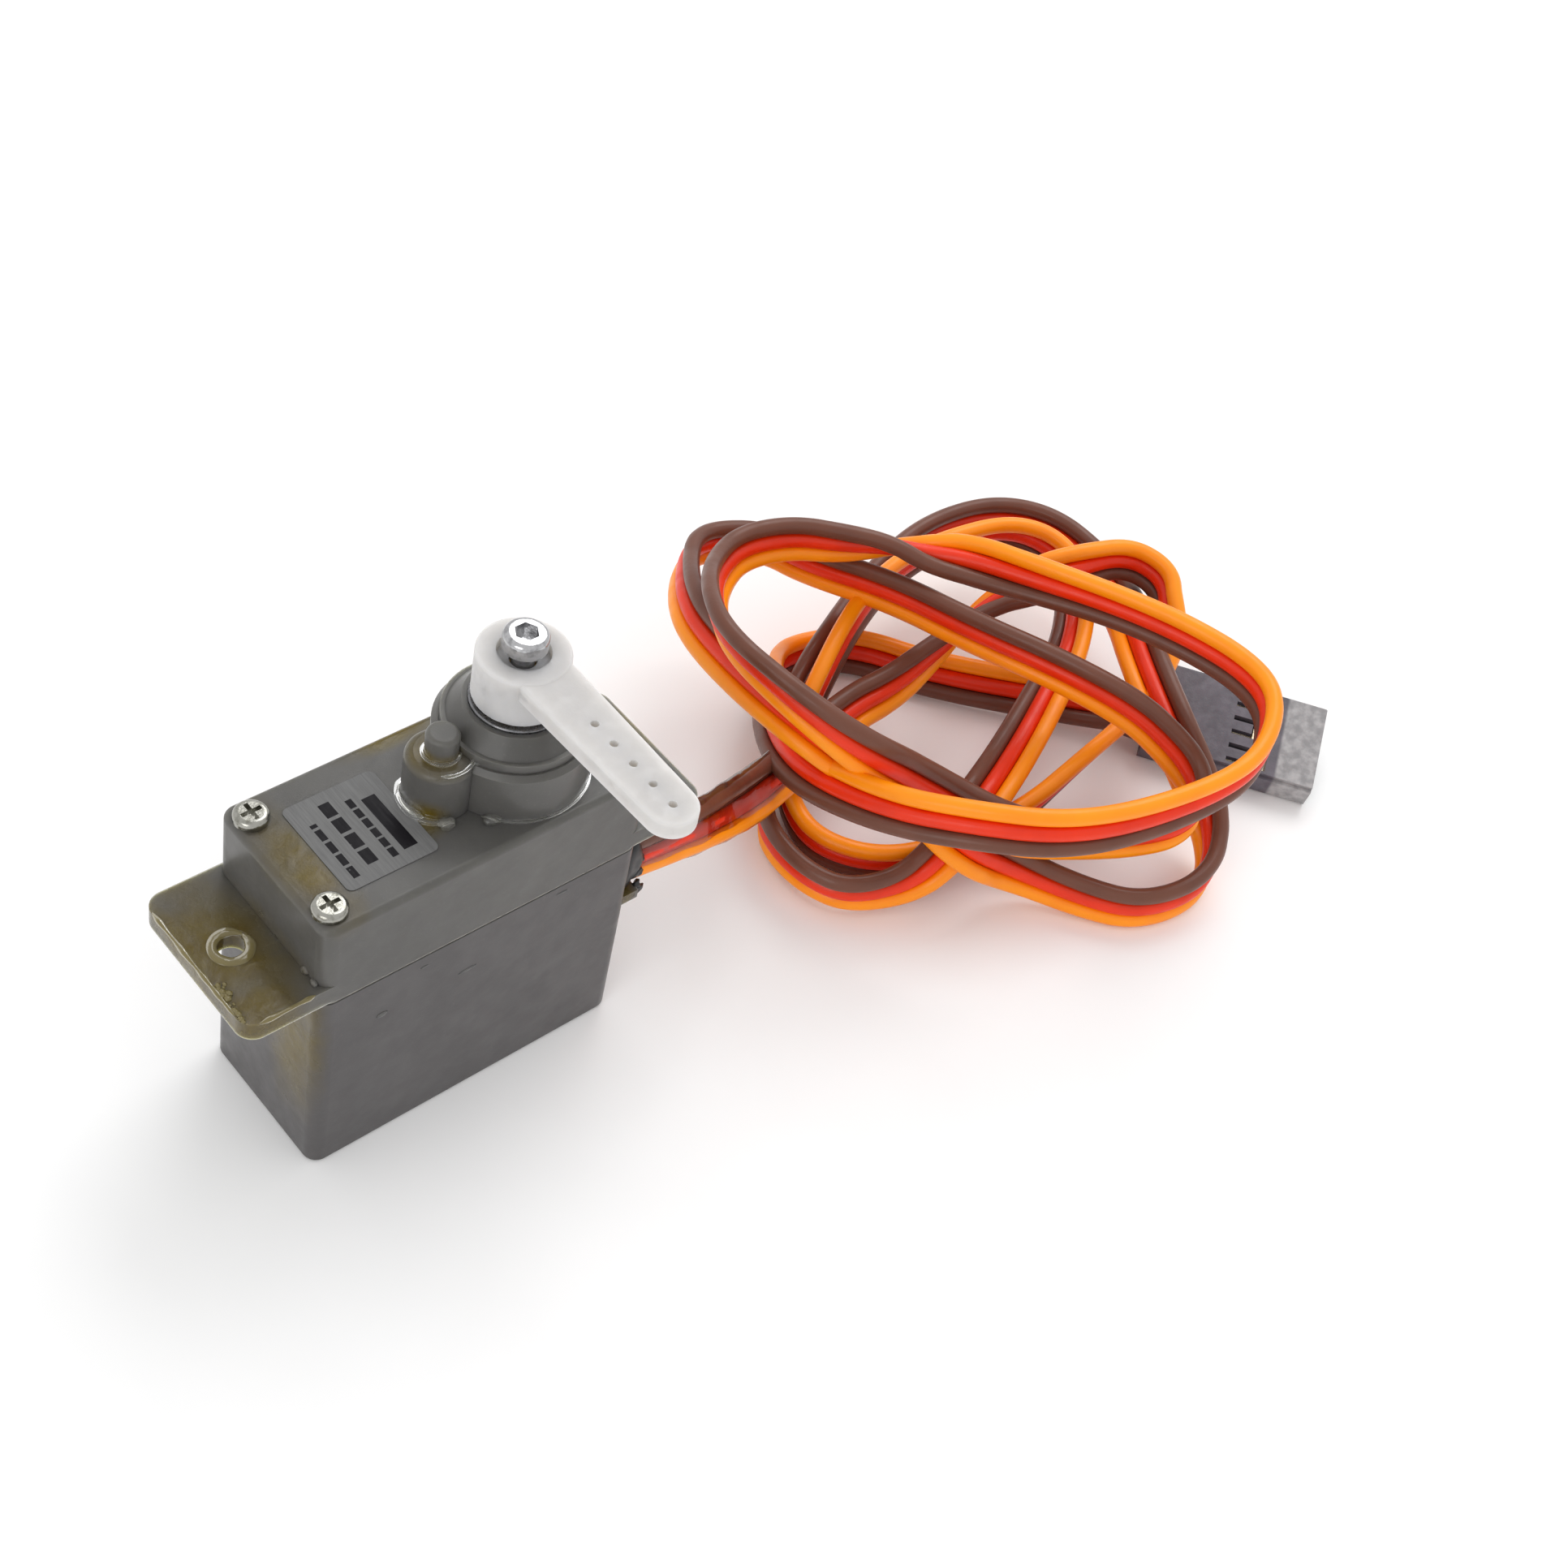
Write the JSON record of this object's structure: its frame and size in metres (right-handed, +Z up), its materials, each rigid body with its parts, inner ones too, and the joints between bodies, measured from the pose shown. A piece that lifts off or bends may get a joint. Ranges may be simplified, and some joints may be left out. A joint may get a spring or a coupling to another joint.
{
  "type": "servo motor",
  "caption": "Small geared servo in a grey tabbed case with a single-arm horn, a loosely coiled flat three-wire lead and a black in-line connector.",
  "frame": {"origin": "centre of the case's flat bottom face", "axes": "+X along the case towards the output shaft and the lead's exit, +Z up along the output shaft; the horn points to -Y at rest"},
  "size_m": [0.0936, 0.0475, 0.0345],
  "materials": {
    "case_grey": "glossy",
    "inner_plastic": "satin",
    "label_foil": "satin",
    "screw_steel": "satin",
    "can_steel": "satin",
    "dark_plastic": "matte",
    "magnet": "matte",
    "rotor_steel": "satin",
    "brass": "satin",
    "gear_nylon": "satin",
    "bearing_dark": "satin",
    "board_green": "satin",
    "chip_black": "matte",
    "horn_white": "satin",
    "horn_screw_steel": "satin",
    "grommet_rubber": "matte",
    "lead_insulation": "satin",
    "connector_black": "satin",
    "contact_metal": "satin"
  },
  "bodies": {
    "case": {"lower_case": "case_grey", "upper_case": "case_grey", "gear_plate": "inner_plastic", "label": "label_foil", "case_screws": "screw_steel", "motor_can": "can_steel", "motor_end_cap": "dark_plastic", "motor_magnet_left": "magnet", "motor_magnet_right": "magnet", "gear_pin": "screw_steel", "output_bearing": "bearing_dark", "potentiometer": "dark_plastic", "circuit_board": "board_green", "control_chip": "chip_black", "driver_chip": "chip_black", "capacitor": "chip_black", "cable_grommet": "grommet_rubber", "cable_lead": "lead_insulation", "cable_coil": "lead_insulation", "connector_housing": "connector_black", "connector_contacts": "contact_metal"},
    "output": {"output_gear": "brass", "output_shaft": "brass", "pot_rotor": "gear_nylon", "horn": "horn_white", "horn_screw": "horn_screw_steel"},
    "third_gear": {"gear_3": "brass"},
    "second_gear": {"gear_2": "gear_nylon"},
    "first_gear": {"gear_1": "gear_nylon"},
    "rotor": {"motor_rotor": "rotor_steel", "motor_pinion": "brass"}
  },
  "joints": [
    {"name": "output_turn", "type": "hinge", "parent": "case", "child": "output", "pos_m": [0.005, 0, 0.0323], "axis": [0, 0, 1], "range_deg": [-85, 85]},
    {"name": "third_gear_turn", "type": "hinge", "parent": "case", "child": "third_gear", "pos_m": [-0.0004, 0, 0.02], "axis": [0, 0, 1], "range_deg": [-226, 226]},
    {"name": "second_gear_turn", "type": "hinge", "parent": "case", "child": "second_gear", "pos_m": [0.005, 0, 0.0188], "axis": [0, 0, 1], "range_deg": [-978, 978]},
    {"name": "first_gear_turn", "type": "hinge", "parent": "case", "child": "first_gear", "pos_m": [-0.0004, 0, 0.0176], "axis": [0, 0, 1], "range_deg": [-4284, 4284]},
    {"name": "rotor_spin", "type": "hinge", "parent": "case", "child": "rotor", "pos_m": [-0.0056, 0, 0.009], "axis": [0, 0, 1], "range_deg": [-17975, 17975]}
  ],
  "couplings": [
    {"joint": "third_gear_turn", "follows": "output_turn", "ratio": -2.6},
    {"joint": "second_gear_turn", "follows": "output_turn", "ratio": 11.44},
    {"joint": "first_gear_turn", "follows": "output_turn", "ratio": -50.336},
    {"joint": "rotor_spin", "follows": "output_turn", "ratio": 211.41}
  ]
}
